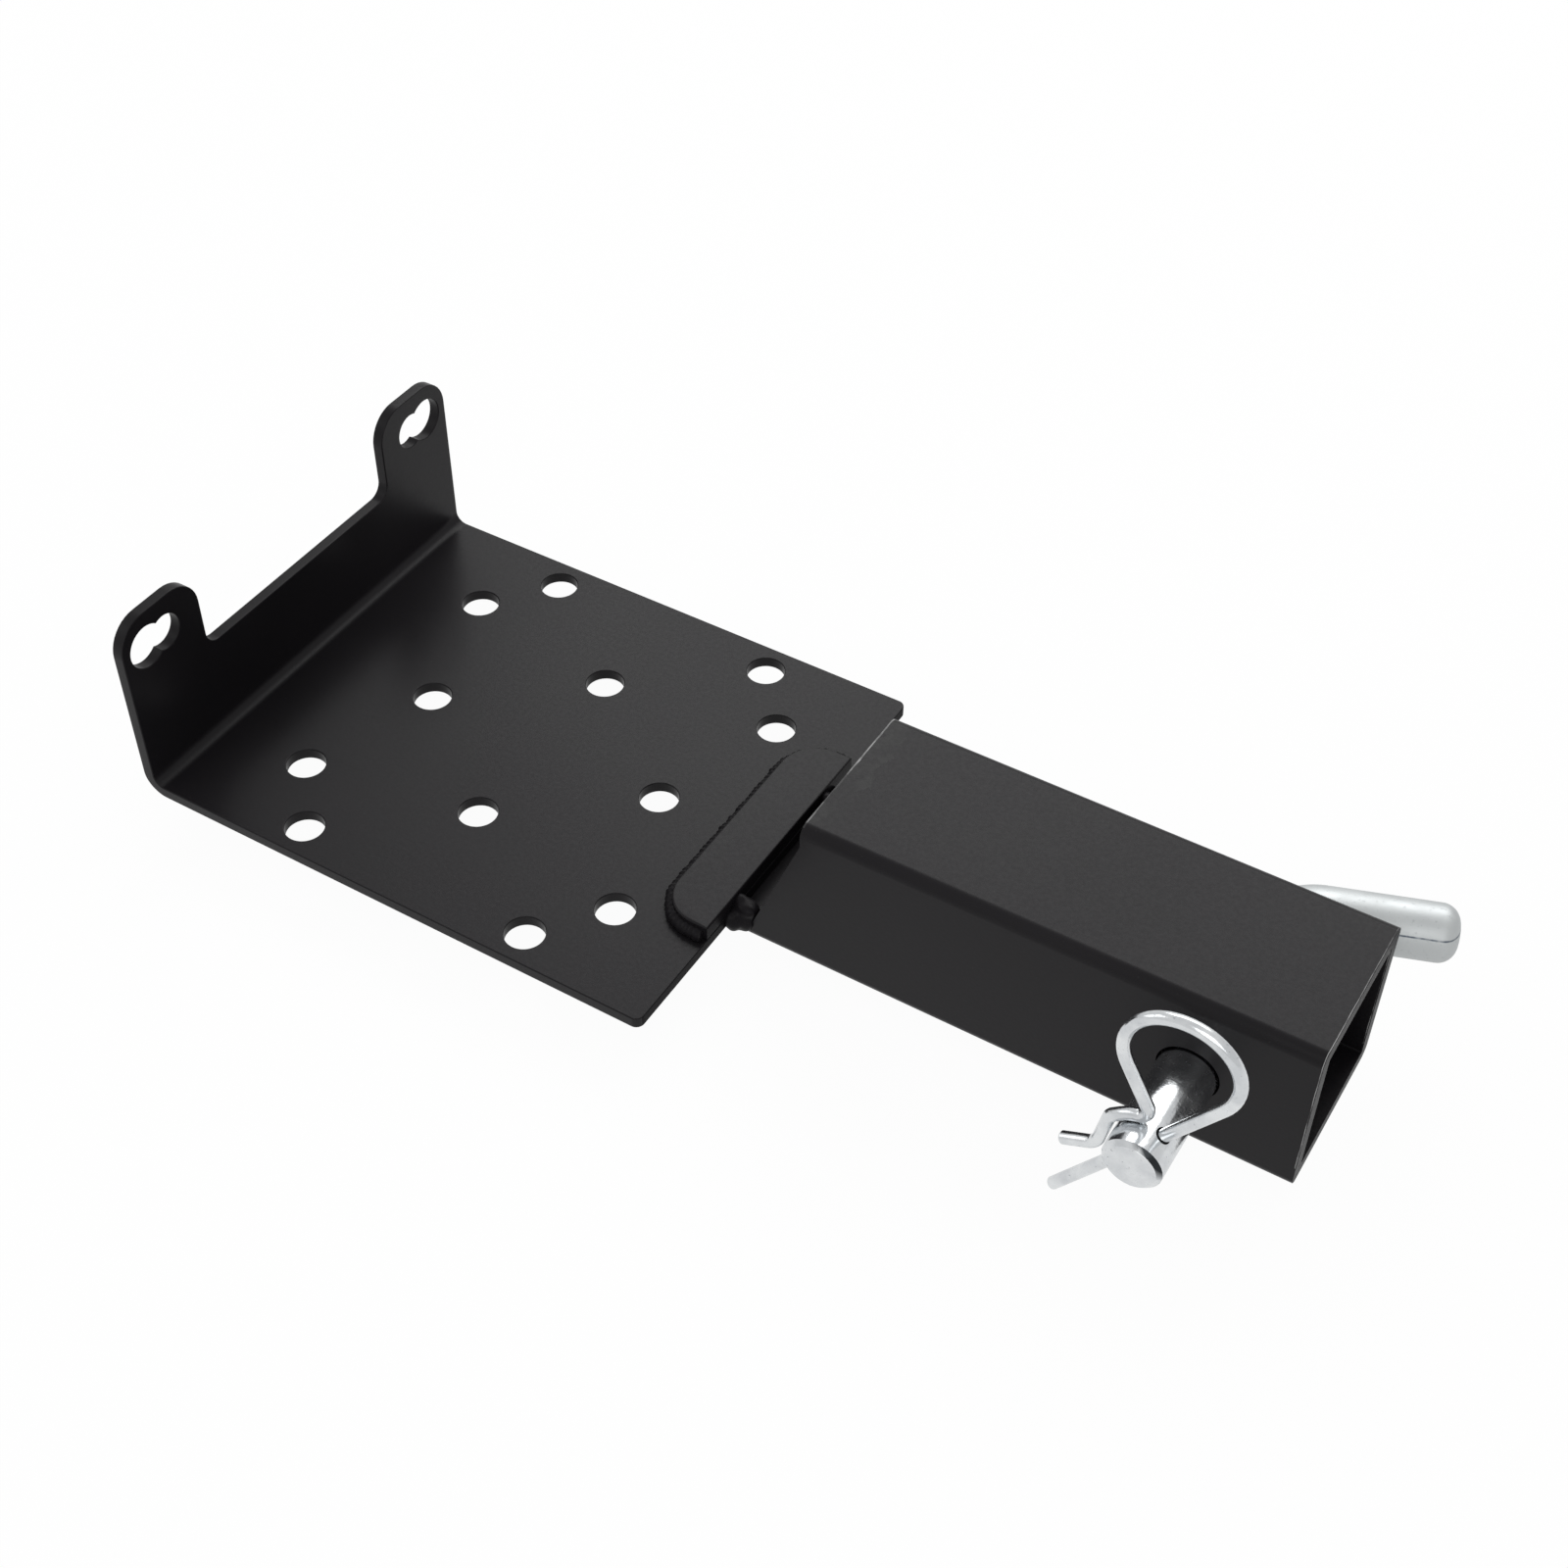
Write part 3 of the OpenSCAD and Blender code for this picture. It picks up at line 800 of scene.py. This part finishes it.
def makeStudio():
    bm = bmesh.new()
    bmesh.ops.create_grid(bm, x_segments=1, y_segments=1, size=studio["floorSize"] / 2)
    bmesh.ops.translate(bm, vec=(0.08, 0, cadLow.z - 0.0002), verts=bm.verts)
    floor = linked("floor", meshOf("floor", bm))
    material = bpy.data.materials.new("floorWhite")
    material.use_nodes = True
    tree = material.node_tree
    shader = tree.nodes["Principled BSDF"]
    shader.inputs["Base Color"].default_value = (0.86, 0.86, 0.86, 1)
    shader.inputs["Roughness"].default_value = 0.9
    shader.inputs["Specular IOR Level"].default_value = 0
    glow = tree.nodes.new("ShaderNodeEmission")
    glow.inputs["Color"].default_value = (1, 1, 1, 1)
    glossy = tree.nodes.new("ShaderNodeLightPath").outputs["Is Glossy Ray"]
    tree.links.new(ranged(tree, glossy, 0, 1, 1, studio["floorSheen"]), glow.inputs["Strength"])
    mix = tree.nodes.new("ShaderNodeMixShader")
    tree.links.new(calc(tree, seenDirectly(tree), studio["clear"], "MULTIPLY"), mix.inputs[0])
    tree.links.new(shader.outputs[0], mix.inputs[1])
    tree.links.new(glow.outputs[0], mix.inputs[2])
    tree.links.new(mix.outputs[0], tree.nodes["Material Output"].inputs["Surface"])
    dress(floor, material)

    world = bpy.data.worlds.new("studioWorld")
    bpy.context.scene.world = world
    world.use_nodes = True
    tree = world.node_tree
    sky = tree.nodes["Background"]
    sky.inputs["Color"].default_value = (1, 1, 1, 1)
    strength = ranged(tree, seenDirectly(tree), 0, 1, studio["fill"], studio["white"])
    glossy = tree.nodes.new("ShaderNodeLightPath").outputs["Is Glossy Ray"]
    dimmed = ranged(tree, glossy, 0, 1, 0, studio["white"] - studio["skySheen"])
    tree.links.new(calc(tree, strength, dimmed, "SUBTRACT"), sky.inputs["Strength"])
    for name in ("back", "front", "left"):
        aimed(name + "Light", studio[name])


def makeCamera():
    data = bpy.data.cameras.new("photoCamera")
    data.sensor_width = camera["sensor"]
    data.lens = camera["lens"]
    data.clip_start, data.clip_end = 0.01, 50
    eye = linked("photoCamera", data)
    right, up = Vector(camera["right"]), Vector(camera["up"])
    back = right.cross(up)
    turn = Matrix((right, up, back)).transposed().to_4x4()
    eye.matrix_world = Matrix.Translation(Vector(camera["place"]) * mm) @ turn
    bpy.context.scene.camera = eye


print("making the welded mount")
sheetPiece = makePlate()
tubePiece = makeTube()
stripPiece = makeStrip()
print("laying the weld beads")
weldPieces = [makeStripBead(), makeTongueBead()]
weldPieces.append(makeToeWeld("toeWeldFront", -1, "toe_weld_front", 31))
weldPieces.append(makeToeWeld("toeWeldBack", 1, "toe_weld_back", 47))
print("bending the pin and the clip")
pinPiece = makePin()
clipPiece = makeClip()
print("painting")
coat, zinc = coatGroup(), zincGroup()
powderCoat = skinned("blackPowderCoat", coat, 0, finish["coatRelief"], finish["coatSheen"])
# The tube's coat with rubbed lines lightened as painted highlight.
rubbedHighlitCoat = skinned("rubbedHighlitPowderCoat", coat, 0, finish["coatRelief"], finish["coatSheen"])
rubAndHighlightEdges(rubbedHighlitCoat, rubbedAndHighlitGroup(), tube["rubbedAndHighlit"])
# A copy of the coat with almost no sheen, painted shade for faces that look toward +X.
shadedEndCoat = skinned("shadedEndPowderCoat", coat, 0, finish["coatRelief"], finish["endSheen"])
coatedWeld = skinned(
    "coatedWeld", coat, 0, finish["weldRelief"], finish["weldSheen"], Peel=finish["weldPeel"]
)
brightZinc = skinned("brightZinc", zinc, 1, finish["zincRelief"])
pinZinc = skinned("pinZinc", zinc, 1, finish["zincRelief"])
# The pin's handle gets painted shade and a painted dark reflection; its tip gets painted shade.
shadeHandle(pinZinc, handleGroup())
shadeTip(pinZinc, tipGroup())
for piece in (sheetPiece, stripPiece):
    dress(piece, powderCoat)
dress(tubePiece, rubbedHighlitCoat)
for piece in (sheetPiece, stripPiece, tubePiece):
    shadeEnds(piece, shadedEndCoat)
for piece in weldPieces:
    dress(piece, coatedWeld)
dress(pinPiece, pinZinc)
dress(clipPiece, brightZinc)
for name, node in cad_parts.items():
    dress(node, brightZinc if name in ("hitch_pin", "hairpin_clip") else powderCoat)

print("setting the studio")
makeStudio()
makeCamera()
scene = bpy.context.scene
scene.view_settings.view_transform = "Standard"
